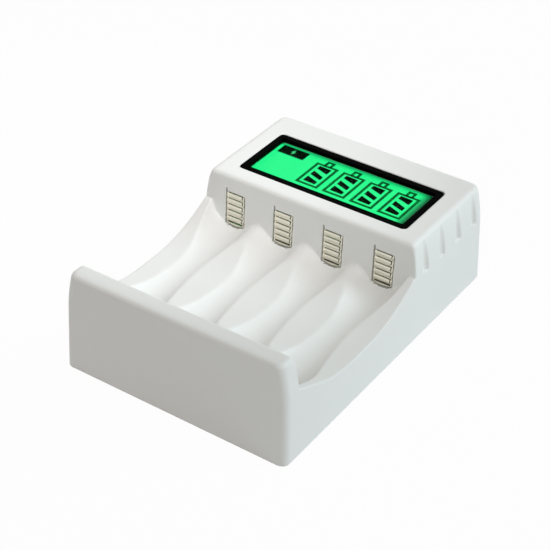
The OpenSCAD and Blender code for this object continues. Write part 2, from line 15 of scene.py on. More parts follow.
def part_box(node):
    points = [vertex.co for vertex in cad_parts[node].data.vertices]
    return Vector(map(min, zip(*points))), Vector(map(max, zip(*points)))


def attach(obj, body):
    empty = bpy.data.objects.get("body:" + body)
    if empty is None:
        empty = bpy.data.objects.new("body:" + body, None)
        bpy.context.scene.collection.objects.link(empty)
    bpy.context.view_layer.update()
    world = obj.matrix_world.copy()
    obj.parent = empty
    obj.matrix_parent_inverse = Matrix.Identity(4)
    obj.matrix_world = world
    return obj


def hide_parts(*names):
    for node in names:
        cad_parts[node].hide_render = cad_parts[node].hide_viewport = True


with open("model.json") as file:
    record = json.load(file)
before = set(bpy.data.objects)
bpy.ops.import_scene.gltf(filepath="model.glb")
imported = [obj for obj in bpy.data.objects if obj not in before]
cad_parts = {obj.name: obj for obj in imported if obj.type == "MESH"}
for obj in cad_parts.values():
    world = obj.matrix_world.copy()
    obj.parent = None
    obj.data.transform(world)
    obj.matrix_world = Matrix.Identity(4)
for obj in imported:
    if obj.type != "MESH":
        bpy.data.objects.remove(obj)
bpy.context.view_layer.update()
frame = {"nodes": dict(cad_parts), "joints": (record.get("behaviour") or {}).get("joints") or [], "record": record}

MM = 0.001
ROOT = "charger"


def box_mm(node):
    """Lowest and highest corner of a node at rest, in millimetres."""
    low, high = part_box(node)
    return np.array(low) / MM, np.array(high) / MM


# Places read from the frame, in millimetres
shell_low, shell_high = box_mm("top_shell")
frame_low, frame_high = box_mm("display_frame")
socket_low, socket_high = box_mm("power_socket")
glass_top = box_mm("display_glass")[1][2]
lens_z = box_mm("display_lens")[0][2]
cell_x = np.sort([joint["pos_m"][0] for joint in frame["joints"]]) / MM
cell_pitch = cell_x[1] - cell_x[0]
rim_z, top_z = shell_low[2], shell_high[2]
front_y, back_y = shell_low[1], shell_high[1]
half_w = shell_high[0]
body_h = top_z - rim_z

# The housing's own sizes, as the part has them
WALL = 2.0
FLOOR_T = 1.8
CORNER_R = 2.4
EDGE_R = 1.2
FLANK_DRAFT = math.radians(2)
BOW_START = 18.0
BOW_R = 50.0
FRONT_LEAN = 1.6
BACK_LEAN = 0.2
FRONT_T = 7.3
BAY_L = 53.7
TROUGH_R = 8.0
TROUGH_FALL = math.radians(3.6)
TROUGH_FLOOR = 14.2
RIDGE_H = 4.0
SADDLE_Z = 13.6
SADDLE_REACH = 23.6
SADDLE_FLAT = 5.9
SADDLE_FRONT_R = 37.0
SADDLE_REAR_R = 44.0
LEDGE_Z = 20.5
BAY_FRONT_LEAN = math.radians(0.5)
HEAD_LEAN = math.radians(3.8)
SLOT_W = 6.4
SLOT_TOP = 24.8
SLIT_W = 0.45
SLIT_RISE = 1.1
SLOT_DROP = 0.25
SLOT_LEAD = 0.1
LEAF_SLOT_W = 6.5
LEAF_SLOT_LOW = 11.2
LEAF_SLOT_TOP = 22.4
GROOVE_Z = 19.9
GROOVE_R = 1.3
GROOVE_DEPTH = 1.1
GROOVE_LEAN = math.radians(2.5)
GROOVE_FRONT = 5.5
GROOVE_BACK = 5.5
GROOVE_COUNT = 4
FRAME_GAP = 0.15
FRAME_LEDGE = 1.6
FREE_GAP = 0.3

# Steepest climb of the saddle's front arc, past which it runs on straight
SADDLE_CLIMB = math.radians(24)

# Roundings where the moulding's faces meet
RIDGE_R = 4.3
SADDLE_ROUND = 0.3
FRONT_FILLET = 0.5
CUT_ROUND = 0.12
GROOVE_ROUND = 0.3

# Fillet along the head wall, which grows from the troughs to the ridges over a stretch beside each trough
HEAD_FILLET_TROUGH = 0.3
HEAD_FILLET_RIDGE = 1.4
FILLET_START = 4.0
FILLET_STRETCH = 4.0

# Rounding along the bay's rim, which grows towards the housing's top over a stretch below it
RIM_ROUND_LOW = 0.5
RIM_ROUND_TOP = 1.2
RIM_START = 3.0
RIM_STRETCH = 2.0

bay_y = front_y + FRONT_T
head_y = bay_y + BAY_L
level_z = TROUGH_FLOOR + RIDGE_H
saddle_y = bay_y + SADDLE_REACH
rear_y = saddle_y + SADDLE_FLAT
display_y = (frame_low[1] + frame_high[1]) / 2
pocket_w = frame_high[0] + FRAME_GAP
pocket_d = frame_high[1] - display_y + FRAME_GAP


def round_cut(a, b, r):
    """What lies inside both forms, with the edge where they meet rounded to radius r.

    Past the edge the distance is the length of both overshoots taken together, less r.
    """
    over = np.hypot(np.maximum(a + r, 0), np.maximum(b + r, 0))
    return np.minimum(np.maximum(a, b), -r) + over


def round_join(a, b, r):
    """What lies inside either form, with the crease between them filled to radius r."""
    return -round_cut(-a, -b, r)


def rounded_rectangle(u, v, half_u, half_v, r):
    """Distance to a rectangle with corners of radius r, in the plane of u and v.

    It is the distance to a rectangle that is smaller by r on every side, less r.
    """
    du = np.abs(u) - half_u + r
    dv = np.abs(v) - half_v + r
    outside = np.hypot(np.maximum(du, 0), np.maximum(dv, 0))
    return outside + np.minimum(np.maximum(du, dv), 0) - r


def flank(h):
    """Half of the housing's width at a height above its rim.

    The flank leans in with the draft, and from a certain height it also bows in on a circle.
    """
    bow = BOW_R - np.sqrt(BOW_R**2 - np.maximum(h - BOW_START, 0) ** 2)
    return half_w - h * math.tan(FLANK_DRAFT) - bow


def outer_form(x, y, z, inset):
    """Distance to the housing's outer form, or to one drawn in by inset.

    Each level slice is a rounded rectangle between the flanks and the leaning front and back walls.
    """
    h = np.clip(z - rim_z, 0, body_h)
    width = flank(h) - inset
    y0 = front_y + FRONT_LEAN * h / body_h + inset
    y1 = back_y - BACK_LEAN * h / body_h - inset
    sides = rounded_rectangle(x, y - (y0 + y1) / 2, width, (y1 - y0) / 2, CORNER_R)
    return round_cut(sides, z - top_z + inset, EDGE_R)


def trough_place(x, y, z):
    """Distance across the nearest trough from its middle, and height above its sloping floor."""
    side = np.abs(x)
    order = np.clip(np.round(side / cell_pitch - 0.5), 0, len(cell_x) / 2 - 1)
    across = side - (order + 0.5) * cell_pitch
    rise = (z - TROUGH_FLOOR) * math.cos(TROUGH_FALL) - (y - head_y) * math.sin(TROUGH_FALL)
    return across, rise


def trough(across, rise):
    """Distance to a trough: a round floor with upright sides."""
    return np.hypot(across, np.minimum(rise - TROUGH_R, 0)) - TROUGH_R


def trough_row(across, rise, between):
    """Distance to the row of troughs, with a round ridge between neighbours that runs smoothly into both.

    The ridge's circle touches the circles of both troughs. On the ridge's side of the line between its
    centre and the trough's, the distance is taken from the ridge's circle.
    """
    half = cell_pitch / 2
    centre = TROUGH_R - math.sqrt((TROUGH_R + RIDGE_R) ** 2 - half**2)
    aside, above = half - np.abs(across), rise - centre
    on_ridge = (between < 0) & (aside * (TROUGH_R - centre) < above * half)
    return np.where(on_ridge, RIDGE_R - np.hypot(aside, above), trough(across, rise))


def saddle(y, z):
    """Distance to the open space above the saddle: two arcs, a level stretch and a ledge at the head.

    Where the front arc has reached its steepest climb, it runs on along its tangent to the front wall.
    """

    def arc(middle_y, radius):
        middle_z = SADDLE_Z + radius
        return np.hypot(y - middle_y, np.minimum(z - middle_z, 0)) - radius

    dy, dz = saddle_y - y, z - SADDLE_Z - SADDLE_FRONT_R
    past_arc = dy * math.cos(SADDLE_CLIMB) + dz * math.sin(SADDLE_CLIMB) > 0
    climb = dy * math.sin(SADDLE_CLIMB) - dz * math.cos(SADDLE_CLIMB) - SADDLE_FRONT_R
    front = np.where(past_arc, climb, arc(saddle_y, SADDLE_FRONT_R))
    level = np.where(y < saddle_y, front, SADDLE_Z - z)
    curve = np.where(y > rear_y, arc(rear_y, SADDLE_REAR_R), level)
    return round_join(curve, np.where(y > rear_y, LEDGE_Z - z, curve), SADDLE_ROUND)


def head_wall(y, z):
    """Distance behind the leaning head wall, and height up along it."""
    dy, dz = y - head_y, z - level_z
    behind = dy * math.cos(HEAD_LEAN) - dz * math.sin(HEAD_LEAN)
    up = dy * math.sin(HEAD_LEAN) + dz * math.cos(HEAD_LEAN)
    return behind, up


def bay_space(x, y, z):
    """Distance to the open bay: troughs, ridges and saddle, blended, between the two end walls."""
    across, rise = trough_place(x, y, z)
    between = np.abs(x) - cell_x[-1]
    hollow = round_join(trough_row(across, rise, between), saddle(y, z), SADDLE_ROUND)
    behind_head = head_wall(y, z)[0]
    ahead = (bay_y - y) * math.cos(BAY_FRONT_LEAN) - (z - level_z) * math.sin(BAY_FRONT_LEAN)
    at_ridge = np.clip((np.abs(across) - FILLET_START) / FILLET_STRETCH, 0, 1) * (between < 0)
    fillet = HEAD_FILLET_TROUGH + at_ridge * (HEAD_FILLET_RIDGE - HEAD_FILLET_TROUGH)
    return round_cut(round_cut(hollow, behind_head, fillet), ahead, FRONT_FILLET)


def contact_openings(x, y, z):
    """Distance to the openings in the head wall: level on top, with a slit at the left, and round below."""
    across, rise = trough_place(x, y, z)
    behind, up = head_wall(y, z)
    left = np.sign(x) * across + SLOT_W / 2
    slot = np.maximum(np.abs(across) - SLOT_W / 2, up - (SLOT_TOP - level_z))
    slit = np.maximum(np.abs(left - SLIT_W / 2) - SLIT_W / 2, up - (SLOT_TOP + SLIT_RISE - level_z))
    sides = np.minimum(slot, slit)
    foot = trough(across, rise) - SLOT_DROP
    depth = np.maximum(behind - 2 * FLOOR_T, -behind - SLOT_LEAD)
    return np.maximum(np.maximum(sides, foot), depth)


def leaf_openings(x, y, z):
    """Distance to the openings in the bay's front wall, one box for each leaf spring."""
    across = trough_place(x, y, z)[0]
    tall = np.maximum(LEAF_SLOT_LOW - z, z - LEAF_SLOT_TOP)
    inner_face = front_y + WALL + FRONT_LEAN + FREE_GAP
    deep = np.maximum(inner_face - y, y - bay_y - FLOOR_T)
    return np.maximum(np.maximum(np.abs(across) - LEAF_SLOT_W / 2, tall), deep)


def display_window(x, y):
    """Distance to the upright sides of the window under the display frame."""
    return rounded_rectangle(x, y - display_y, pocket_w - FRAME_LEDGE, pocket_d - FRAME_LEDGE, CORNER_R / 4)


def display_opening(x, y, z):
    """Distance to the pocket for the display frame and the window below it."""
    sides = rounded_rectangle(x, y - display_y, pocket_w, pocket_d, CORNER_R / 2)
    pocket = np.maximum(sides, frame_low[2] - z)
    window = np.maximum(display_window(x, y), lens_z - 2 * WALL - z)
    return np.minimum(pocket, window)


def head_grooves(x, y, z):
    """Distance to the grooves on both flanks of the head.

    Each is a round bar that leans in as it rises, and it starts at a ledge square to its length.
    """
    first = head_y + GROOVE_FRONT
    pitch = (back_y - GROOVE_BACK - first) / (GROOVE_COUNT - 1)
    order = np.clip(np.round((y - first) / pitch), 0, GROOVE_COUNT - 1)
    middle = flank(GROOVE_Z - rim_z) - GROOVE_DEPTH + GROOVE_R
    dx, dz = np.abs(x) - middle, z - GROOVE_Z
    aside = dx * math.cos(GROOVE_LEAN) + dz * math.sin(GROOVE_LEAN)
    along = dz * math.cos(GROOVE_LEAN) - dx * math.sin(GROOVE_LEAN)
    return np.maximum(np.hypot(aside, y - first - order * pitch) - GROOVE_R, -along)


def socket_opening(x, y, z):
    """Distance to the flat-sided hole in the back wall for the power socket."""
    half_h = (socket_high[2] - socket_low[2]) / 2
    mid_z = (socket_high[2] + socket_low[2]) / 2
    flat = socket_high[0] - half_h
    ring = np.hypot(np.maximum(np.abs(x) - flat, 0), z - mid_z) - half_h - FREE_GAP
    return np.maximum(ring, socket_low[1] - y)


def cavity(x, y, z, bay):
    """Distance to the space inside the housing, a wall's thickness in from the outer form and the bay."""
    return np.maximum(outer_form(x, y, z, WALL), FLOOR_T - bay)


def housing(x, y, z):
    """Distance to the moulded housing: negative inside its wall, positive in the air."""
    bay = bay_space(x, y, z)
    near_top = np.clip((z - top_z + RIM_START) / RIM_STRETCH, 0, 1)
    rim = RIM_ROUND_LOW + near_top * (RIM_ROUND_TOP - RIM_ROUND_LOW)
    skin = round_cut(outer_form(x, y, z, 0), -bay, rim)
    skin = round_cut(skin, -head_grooves(x, y, z), GROOVE_ROUND)
    for opening in (display_opening, contact_openings, leaf_openings, socket_opening):
        skin = round_cut(skin, -opening(x, y, z), CUT_ROUND)
    return np.maximum(np.maximum(skin, -cavity(x, y, z, bay)), rim_z - z)


# Grid of the housing's skin: room around it, spacing along each axis, places along an axis where the
# spacing is worked out, and the power by which it grows back beside a feature
GRID_ROOM = 0.6
GRID_X = 0.65
GRID_Y = 1.4
GRID_Z = 1.6
GRID_PLACES = 6000
GRID_GROWTH = 1.5

# Closer grid lines: the spacing at a feature and the reach over which it grows back
AT_RIM = (0.35, 1.0)
AT_SLOT_SIDE = (0.18, 0.8)
AT_WALL = (0.35, 1.6)
AT_LEVEL = (0.3, 1.6)
AT_SLOT_TOP = (0.2, 1.0)
ALONG_BAY = (0.6, 2.0)
UP_BAY = (0.5, 2.0)

# Depths in from the flanks, the top and the bay's end walls at which lines follow the rounded edges,
# and the distance of the inner lines from a groove's middle
RIM_LINES = (2.5, 1.4, 0.4)
TOP_LINES = (1.1, 0.3)
WALL_LINE = 1.0
GROOVE_LINE = 0.4

# Places along and up the bay that keep its lines close, from below the saddle to above the ledge
BAY_RUN_COUNT = 60
BAY_RISE_COUNT = 20
BAY_BELOW = 2
BAY_ABOVE = 1

# The inner lining: how near its points lie to the cavity, and how flat its faces are where they are merged
LINING_NEAR = 0.01
LINING_FLAT = math.radians(6)

# How far the lip of the display's window reaches out from its sides
LIP_REACH = 0.2


def graded(low, high, coarse, *groups):
    """Grid lines from low to high, with room at both ends.

    They are coarse, and closer near the places of each group. A group gives its places, the spacing at them
    and how far from them the spacing grows back to coarse. The lines stand at even steps of the running
    total of one over the spacing.
    """
    spots = np.linspace(low - GRID_ROOM, high + GRID_ROOM, GRID_PLACES)
    step = np.full(len(spots), coarse)
    for places, fine, reach in groups:
        near = np.min(np.abs(spots[:, None] - np.asarray(places)[None, :]), axis=1)
        step = np.minimum(step, fine + (coarse - fine) * np.clip(near / reach, 0, 1) ** GRID_GROWTH)
    count = np.concatenate([[0], np.cumsum(np.diff(spots) * (1 / step[1:] + 1 / step[:-1]) / 2)])
    lines = int(round(count[-1]))
    return np.interp(np.linspace(0, count[-1], lines + 1), count, spots)


def slope(field, points):
    """Gradient of a distance field at points, from differences across a hundredth of a millimetre."""
    reach = 0.01
    steps = np.eye(3) * reach
    ahead = [field(*(points + step).T) for step in steps]
    behind = [field(*(points - step).T) for step in steps]
    return (np.stack(ahead, 1) - np.stack(behind, 1)) / (2 * reach)


def zero_surface(field, xs, ys, zs):
    """Surface where a distance field is zero, as points and four-sided faces.

    Each grid box that the surface passes through gets one point, the mean of the places where the box's
    edges cross it, which is then moved along the field's slope onto the surface in a few rounds. Each grid
    edge that crosses it gets a face between its four boxes.
    """
    rounds, least_slope = 4, 1e-6
    lines = (xs, ys, zs)
    values = field(*np.meshgrid(*lines, indexing="ij"))
    shape = tuple(n - 1 for n in values.shape)
    total = np.zeros(shape + (3,))
    crossings = np.zeros(shape)
    edges = []
    for axis in range(3):
        order = (axis, (axis + 1) % 3, (axis + 2) % 3)
        along = values.transpose(order)
        near, far = along[:-1], along[1:]
        crossed = (near < 0) != (far < 0)
        share = np.where(crossed, near / np.where(crossed, near - far, 1), 0)
        place = np.empty(crossed.shape + (3,))
        place[..., axis] = lines[axis][:-1, None, None] + share * np.diff(lines[axis])[:, None, None]
        place[..., order[1]] = lines[order[1]][None, :, None]
        place[..., order[2]] = lines[order[2]][None, None, :]
        place *= crossed[..., None]
        back = tuple(np.argsort(order))
        for j in (0, 1):
            for k in (0, 1):
                part = np.s_[:, j : crossed.shape[1] - 1 + j, k : crossed.shape[2] - 1 + k]
                total += place[part].transpose(back + (3,))
                crossings += crossed[part].transpose(back)
        edges.append((order, crossed, near < 0))
    active = crossings > 0
    number = np.full(shape, -1)
    number[active] = np.arange(active.sum())
    points = total[active] / crossings[active][:, None]
    faces = []
    for order, crossed, first_inside in edges:
        boxes = number.transpose(order)
        inner = crossed[:, 1:-1, 1:-1]
        around = [boxes[:, :-1, :-1], boxes[:, 1:, :-1], boxes[:, 1:, 1:], boxes[:, :-1, 1:]]
        ring = np.stack(around, -1)[inner]
        turned = ~first_inside[:, 1:-1, 1:-1][inner]
        ring[turned] = ring[turned][:, ::-1]
        faces.append(ring)
    sizes = np.stack(np.meshgrid(*[np.diff(line) for line in lines], indexing="ij"), -1)[active]
    for _ in range(rounds):
        steep = slope(field, points)
        square = np.maximum((steep * steep).sum(1, keepdims=True), least_slope)
        move = field(*points.T)[:, None] * steep / square
        points = points - np.clip(move, -sizes / 2, sizes / 2)
    return points, np.concatenate(faces)


def mesh_piece(name, points, faces, smooth=True):
    """New object at the origin from points in millimetres and four-sided faces."""
    mesh = bpy.data.meshes.new(name)
    mesh.vertices.add(len(points))
    mesh.vertices.foreach_set("co", (points * MM).astype(np.float32).ravel())
    mesh.loops.add(faces.size)
    mesh.loops.foreach_set("vertex_index", faces.astype(np.int32).ravel())
    mesh.polygons.add(len(faces))
    mesh.polygons.foreach_set("loop_start", np.arange(len(faces), dtype=np.int32) * faces.shape[1])
    mesh.update(calc_edges=True)
    mesh.validate()
    mesh.polygons.foreach_set("use_smooth", np.full(len(mesh.polygons), smooth))
    piece = bpy.data.objects.new(name, mesh)
    bpy.context.scene.collection.objects.link(piece)
    return piece


def merge_flat(mesh, picked, angle):
    """Joins the nearly flat faces around the picked points into larger ones."""
    ends = np.empty(len(mesh.edges) * 2, np.int32)
    mesh.edges.foreach_get("vertices", ends)
    inner = picked[ends.reshape(-1, 2)].all(1)
    form = bmesh.new()
    form.from_mesh(mesh)
    verts = list(compress(form.verts, picked))
    edges = list(compress(form.edges, inner))
    bmesh.ops.dissolve_limit(form, angle_limit=angle, verts=verts, edges=edges)
    form.to_mesh(mesh)
    form.free()


def make_housing():
    """The housing's skin, with grid lines gathered where its faces meet."""
    rim_x = [s * (half_w - d) for s in (-1, 1) for d in RIM_LINES]
    slot_x = [c + d for c in cell_x for d in (-SLOT_W / 2, SLIT_W - SLOT_W / 2, SLOT_W / 2)]
    xs = graded(-half_w, half_w, GRID_X, (rim_x, *AT_RIM), (slot_x, *AT_SLOT_SIDE))

    groove_y = np.linspace(head_y + GROOVE_FRONT, back_y - GROOVE_BACK, GROOVE_COUNT)
    groove_sides = [g + s * d for g in groove_y for s in (-1, 1) for d in (GROOVE_LINE, GROOVE_R)]
    front_wall = [front_y, front_y + FRONT_LEAN, bay_y - WALL_LINE, bay_y]
    head = [head_y, head_y + WALL_LINE, frame_low[1], frame_high[1], back_y]
    walls = front_wall + head + groove_sides
    bay_run = np.linspace(bay_y, head_y, BAY_RUN_COUNT)
    ys = graded(front_y, back_y, GRID_Y, (walls, *AT_WALL), (bay_run, *ALONG_BAY))

    levels = [rim_z, GROOVE_Z, LEDGE_Z, frame_low[2]] + [top_z - d for d in TOP_LINES]
    slot_z = [SLOT_TOP, SLOT_TOP + SLIT_RISE]
    bay_rise = np.linspace(SADDLE_Z - BAY_BELOW, LEDGE_Z + BAY_ABOVE, BAY_RISE_COUNT)
    zs = graded(rim_z, top_z, GRID_Z, (levels, *AT_LEVEL), (slot_z, *AT_SLOT_TOP), (bay_rise, *UP_BAY))

    points, faces = zero_surface(housing, xs, ys, zs)
    piece = mesh_piece("housing_skin", points, faces)
    lining = np.abs(cavity(*points.T, bay_space(*points.T))) < LINING_NEAR
    merge_flat(piece.data, lining, LINING_FLAT)
    points = np.empty(len(piece.data.vertices) * 3)
    piece.data.vertices.foreach_get("co", points)
    points = points.reshape(-1, 3) / MM
    # Marks the lip of the display's window, which gets a painted glow of the display
    lip = piece.data.attributes.new("lip", "FLOAT", "POINT")
    lip.data.foreach_set("value", (display_window(*points[:, :2].T) < LIP_REACH).astype(np.float32))
    normals = slope(housing, points)
    normals /= np.linalg.norm(normals, axis=1, keepdims=True)
    piece.data.normals_split_custom_set_from_vertices(normals)
    return piece


def plates(shapes, low, high):
    """Flat plates between two heights, each from its four corners, taken anticlockwise from above."""
    shapes = np.asarray(shapes, float)
    level = np.ones((len(shapes), 4, 1))
    points = np.concatenate([np.concatenate([shapes, z * level], 2) for z in (low, high)], 1)
    sides = np.array([[3, 2, 1, 0], [4, 5, 6, 7], [0, 1, 5, 4], [1, 2, 6, 5], [2, 3, 7, 6], [3, 0, 4, 7]])
    faces = sides[None] + 8 * np.arange(len(shapes))[:, None, None]
    return points.reshape(-1, 3), faces.reshape(-1, 4)


def outline(low, high, width):
    """Four mitred strips along the inside of a rectangle."""
    outer = np.array([[low[0], low[1]], [high[0], low[1]], [high[0], high[1]], [low[0], high[1]]])
    inner = outer + width * np.array([[1, 1], [-1, 1], [-1, -1], [1, -1]])
    ahead = np.roll(np.arange(4), -1)
    return list(np.stack([outer, outer[ahead], inner[ahead], inner], 1))


# Display marks, measured from the middle of the display in millimetres
ICON_COUNT = 4
ICON_FIRST = -8.1
ICON_PITCH = 8.83
ICON_HALF = 3.6
ICON_LOW = -5.2
ICON_TOP = 6.2
ICON_LINE = 0.8
NUB_HALF = 1.3
NUB_H = 2.9
FILL_HALF = 1.95
FILL_LEFT = (-3.6, -1.05, 0.1, 2.05, 3.5, 5.0)
FILL_RIGHT = (-3.7, -2.4, -1.15, 0.5, 2.3, 4.85)
LABEL_LOW = (-24.5, 4.65)
LABEL_HIGH = (-15.8, 8.6)
BOLT_HALF = ((0.25, 1.3), (-0.75, -0.15), (-0.05, -0.15), (0.05, 0.15))
FILM_T = 0.03


def display_marks():
    """Cell symbols as line strips, their slanted charge bars as plates, and a label with a plain bolt."""
    middle = np.array([0, display_y])
    nub_low = ICON_TOP - ICON_LINE
    lines, bars = [], []
    for x in ICON_FIRST + ICON_PITCH * np.arange(ICON_COUNT):
        lines += outline((x - ICON_HALF, ICON_LOW), (x + ICON_HALF, ICON_TOP), ICON_LINE)
        lines += outline((x - NUB_HALF, nub_low), (x + NUB_HALF, nub_low + NUB_H), ICON_LINE)
        for low, high in ((0, 1), (2, 3), (4, 5)):
            bars.append(np.array([
                (x - FILL_HALF, FILL_LEFT[low]), (x + FILL_HALF, FILL_RIGHT[low]),
                (x + FILL_HALF, FILL_RIGHT[high]), (x - FILL_HALF, FILL_LEFT[high]),
            ]))
    label = np.array([LABEL_LOW, (LABEL_HIGH[0], LABEL_LOW[1]), LABEL_HIGH, (LABEL_LOW[0], LABEL_HIGH[1])])
    bolt = (label[0] + label[2]) / 2 + np.array([BOLT_HALF, -np.array(BOLT_HALF)])
    marks = (("display_lines", lines, 0), ("display_bars", bars + [label], 0), ("display_bolt", bolt, 1))
    for name, shapes, layer in marks:
        base = glass_top + FILM_T / 2 + layer * FILM_T
        piece = mesh_piece(name, *plates(np.asarray(shapes) + middle, base, base + FILM_T), smooth=False)
        piece.data.materials.append(finishes[name])
        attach(piece, ROOT)


# Span of a noise that is mapped to the two ends of a range
NOISE_SPAN = (0.3, 0.7)


class Finish:
    """A node material in the making, with short ways to add nodes and links."""

    def __init__(self, name):
        self.material = bpy.data.materials.new(name)
        self.material.use_nodes = True
        self.tree = self.material.node_tree
        self.shader = self.tree.nodes["Principled BSDF"]
        self.place = self.node("ShaderNodeTexCoord").outputs["Object"]

    def node(self, kind, **values):
        made = self.tree.nodes.new(kind)
        for name, value in values.items():
            setattr(made, name, value)
        return made

    def set(self, **values):
        for name, value in values.items():
            self.shader.inputs[name.replace("_", " ")].default_value = value

    def link(self, output, socket):
        self.tree.links.new(output, socket)

    def noise(self, scale, detail=3.0, place=None):
        made = self.node("ShaderNodeTexNoise")
        made.inputs["Scale"].default_value = scale
        made.inputs["Detail"].default_value = detail
        self.link(self.place if place is None else place, made.inputs["Vector"])
        return made.outputs["Fac"]

    def ramp(self, value, low, high):
        """Maps the middle span of a noise to the range between two colours or numbers."""
        if np.ndim(low):
            made = self.node("ShaderNodeValToRGB")
            made.color_ramp.elements[0].position = NOISE_SPAN[0]
            made.color_ramp.elements[1].position = NOISE_SPAN[1]
            made.color_ramp.elements[0].color = (*low, 1)
            made.color_ramp.elements[1].color = (*high, 1)
            self.link(value, made.inputs["Fac"])
            return made.outputs["Color"]
        made = self.node("ShaderNodeMapRange")
        made.inputs["From Min"].default_value = NOISE_SPAN[0]
        made.inputs["From Max"].default_value = NOISE_SPAN[1]
        made.inputs["To Min"].default_value = low
        made.inputs["To Max"].default_value = high
        self.link(value, made.inputs["Value"])
        return made.outputs["Result"]

    def vary(self, socket, value, low, high):
        """Lets a socket of the shader vary between two colours or numbers with a noise."""
        self.link(self.ramp(value, low, high), self.shader.inputs[socket])

    def bump(self, height, distance):
        made = self.node("ShaderNodeBump")
        made.inputs["Distance"].default_value = distance
        made.inputs["Strength"].default_value = 1.0
        self.link(height, made.inputs["Height"])
        self.link(made.outputs["Normal"], self.shader.inputs["Normal"])


# How many times wider than its grain a finish's drift in colour is
DRIFT = 12

# Drawn lines in plated metal: their closeness, depth in metres, and shares of tone and roughness
BRUSH_SCALE = 900
BRUSH_DEPTH = 4e-6
BRUSH_TONE = (0.9, 1.06)
BRUSH_ROUGH = (0.8, 1.2)

# Distances in from the display frame's right and back edges where the painted shadow of the frame starts and where
# it is darkest
FRAME_SHADOW_RIGHT = (6.5, 2.5)
FRAME_SHADOW_BACK = (3.2, -0.7)

# Greens of the display: unlit base, painted shadow of the frame at its edge, full light, painted glow of the
# display on the lip of its window, and the two ends of the bolt's uneven light
GREEN_BASE = (0.01, 0.05, 0.02)
GREEN_IN_FRAME_SHADOW = (0.0, 0.012, 0.005)
GREEN_LIT = (0.012, 0.885, 0.258)
GREEN_GLOW_ON_LIP = (0.01, 0.2, 0.07)
GREEN_BOLT = ((0.02, 0.6, 0.18), (0.03, 0.7, 0.22))


def speckled(name, colour, spread, rough, grain, depth, metal=0.0, shine=0.5):
    """A finish whose colour and roughness vary a little, with a fine grain in its surface."""
    made = Finish(name)
    made.set(Metallic=metal, Specular_IOR_Level=shine)
    tone = np.array(colour)
    slow = made.noise(grain / DRIFT)
    fine = made.noise(grain, 5.0)
    made.vary("Base Color", slow, tone * (1 - spread), np.minimum(tone * (1 + spread), 1))
    made.vary("Roughness", fine, *rough)
    made.bump(fine, depth)
    return made.material


def brushed(name, colour, rough, along):
    """Plated metal with fine drawn lines, stretched along each axis whose scale is small."""
    made = Finish(name)
    made.set(Metallic=1.0)
    stretch = made.node("ShaderNodeMapping")
    stretch.inputs["Scale"].default_value = along
    made.link(made.place, stretch.inputs["Vector"])
    lines = made.noise(BRUSH_SCALE, 4.0, stretch.outputs["Vector"])
    dark, light = (np.minimum(np.array(colour) * share, 1) for share in BRUSH_TONE)
    made.vary("Base Color", lines, dark, light)
    made.vary("Roughness", lines, *(rough * share for share in BRUSH_ROUGH))
    made.bump(lines, BRUSH_DEPTH)
    return made.material


def display_light():
    """Green lit display: even light, with a painted shadow of the frame that dims it in a soft band along the back
    and right edges.
    """
    made = Finish("display_green")
    made.set(Base_Color=(*GREEN_BASE, 1), Roughness=0.35, Emission_Strength=1.0, Specular_IOR_Level=0.02)
    parts = made.node("ShaderNodeSeparateXYZ")
    made.link(made.place, parts.inputs["Vector"])

    def fade(output, edge, depths):
        """Falls from 1 to 0 on a smooth step between two depths inside an edge."""
        step = made.node("ShaderNodeMapRange", interpolation_type="SMOOTHSTEP")
        step.inputs["From Min"].default_value = (edge - depths[0]) * MM
        step.inputs["From Max"].default_value = (edge - depths[1]) * MM
        step.inputs["To Min"].default_value = 1.0
        step.inputs["To Max"].default_value = 0.0
        made.link(output, step.inputs["Value"])
        return step.outputs["Result"]

    # Painted shadow of the frame: the light falls to a dark green in a band along the right and back edges
    both = made.node("ShaderNodeMath", operation="MULTIPLY")
    made.link(fade(parts.outputs["X"], frame_high[0], FRAME_SHADOW_RIGHT), both.inputs[0])
    made.link(fade(parts.outputs["Y"], frame_high[1], FRAME_SHADOW_BACK), both.inputs[1])
    tint = made.node("ShaderNodeValToRGB")
    tint.color_ramp.elements[0].color = (*GREEN_IN_FRAME_SHADOW, 1)
    tint.color_ramp.elements[1].color = (*GREEN_LIT, 1)
    made.link(both.outputs["Value"], tint.inputs["Fac"])
    made.link(tint.outputs["Color"], made.shader.inputs["Emission Color"])
    return made.material


def paint_glow_on_lip(material):
    """Paints the display's green light, as it falls on the lip of the display's window, into the base colour
    there; the lip is marked on the skin's points.
    """
    tree = material.node_tree
    base = tree.nodes["Principled BSDF"].inputs["Base Color"]
    lip = tree.nodes.new("ShaderNodeAttribute")
    lip.attribute_name = "lip"
    # Painted light: the display's green glow on the window's lip, mixed into the base colour
    mix = tree.nodes.new("ShaderNodeMixRGB")
    mix.inputs["Color2"].default_value = (*GREEN_GLOW_ON_LIP, 1)
    tree.links.new(lip.outputs["Fac"], mix.inputs["Fac"])
    tree.links.new(base.links[0].from_socket, mix.inputs["Color1"])
    tree.links.new(mix.outputs["Color"], base)
    return material


def glow_mark():
    """Light green that shows through a mark, a little uneven."""
    made = Finish("display_bolt")
    made.set(Base_Color=(*GREEN_BASE, 1), Roughness=0.5, Emission_Strength=1.0)
    made.vary("Emission Color", made.noise(900), *GREEN_BOLT)
    return made.material


def clear_lens():
    """Clear moulded window: glass with hardly any tint and a few faint ripples."""
    made = Finish("lens_clear")
    made.set(Base_Color=(0.97, 1.0, 0.98, 1), Transmission_Weight=1.0, IOR=1.04)
    made.vary("Roughness", made.noise(300), 0.0, 0.01)
    return made.material


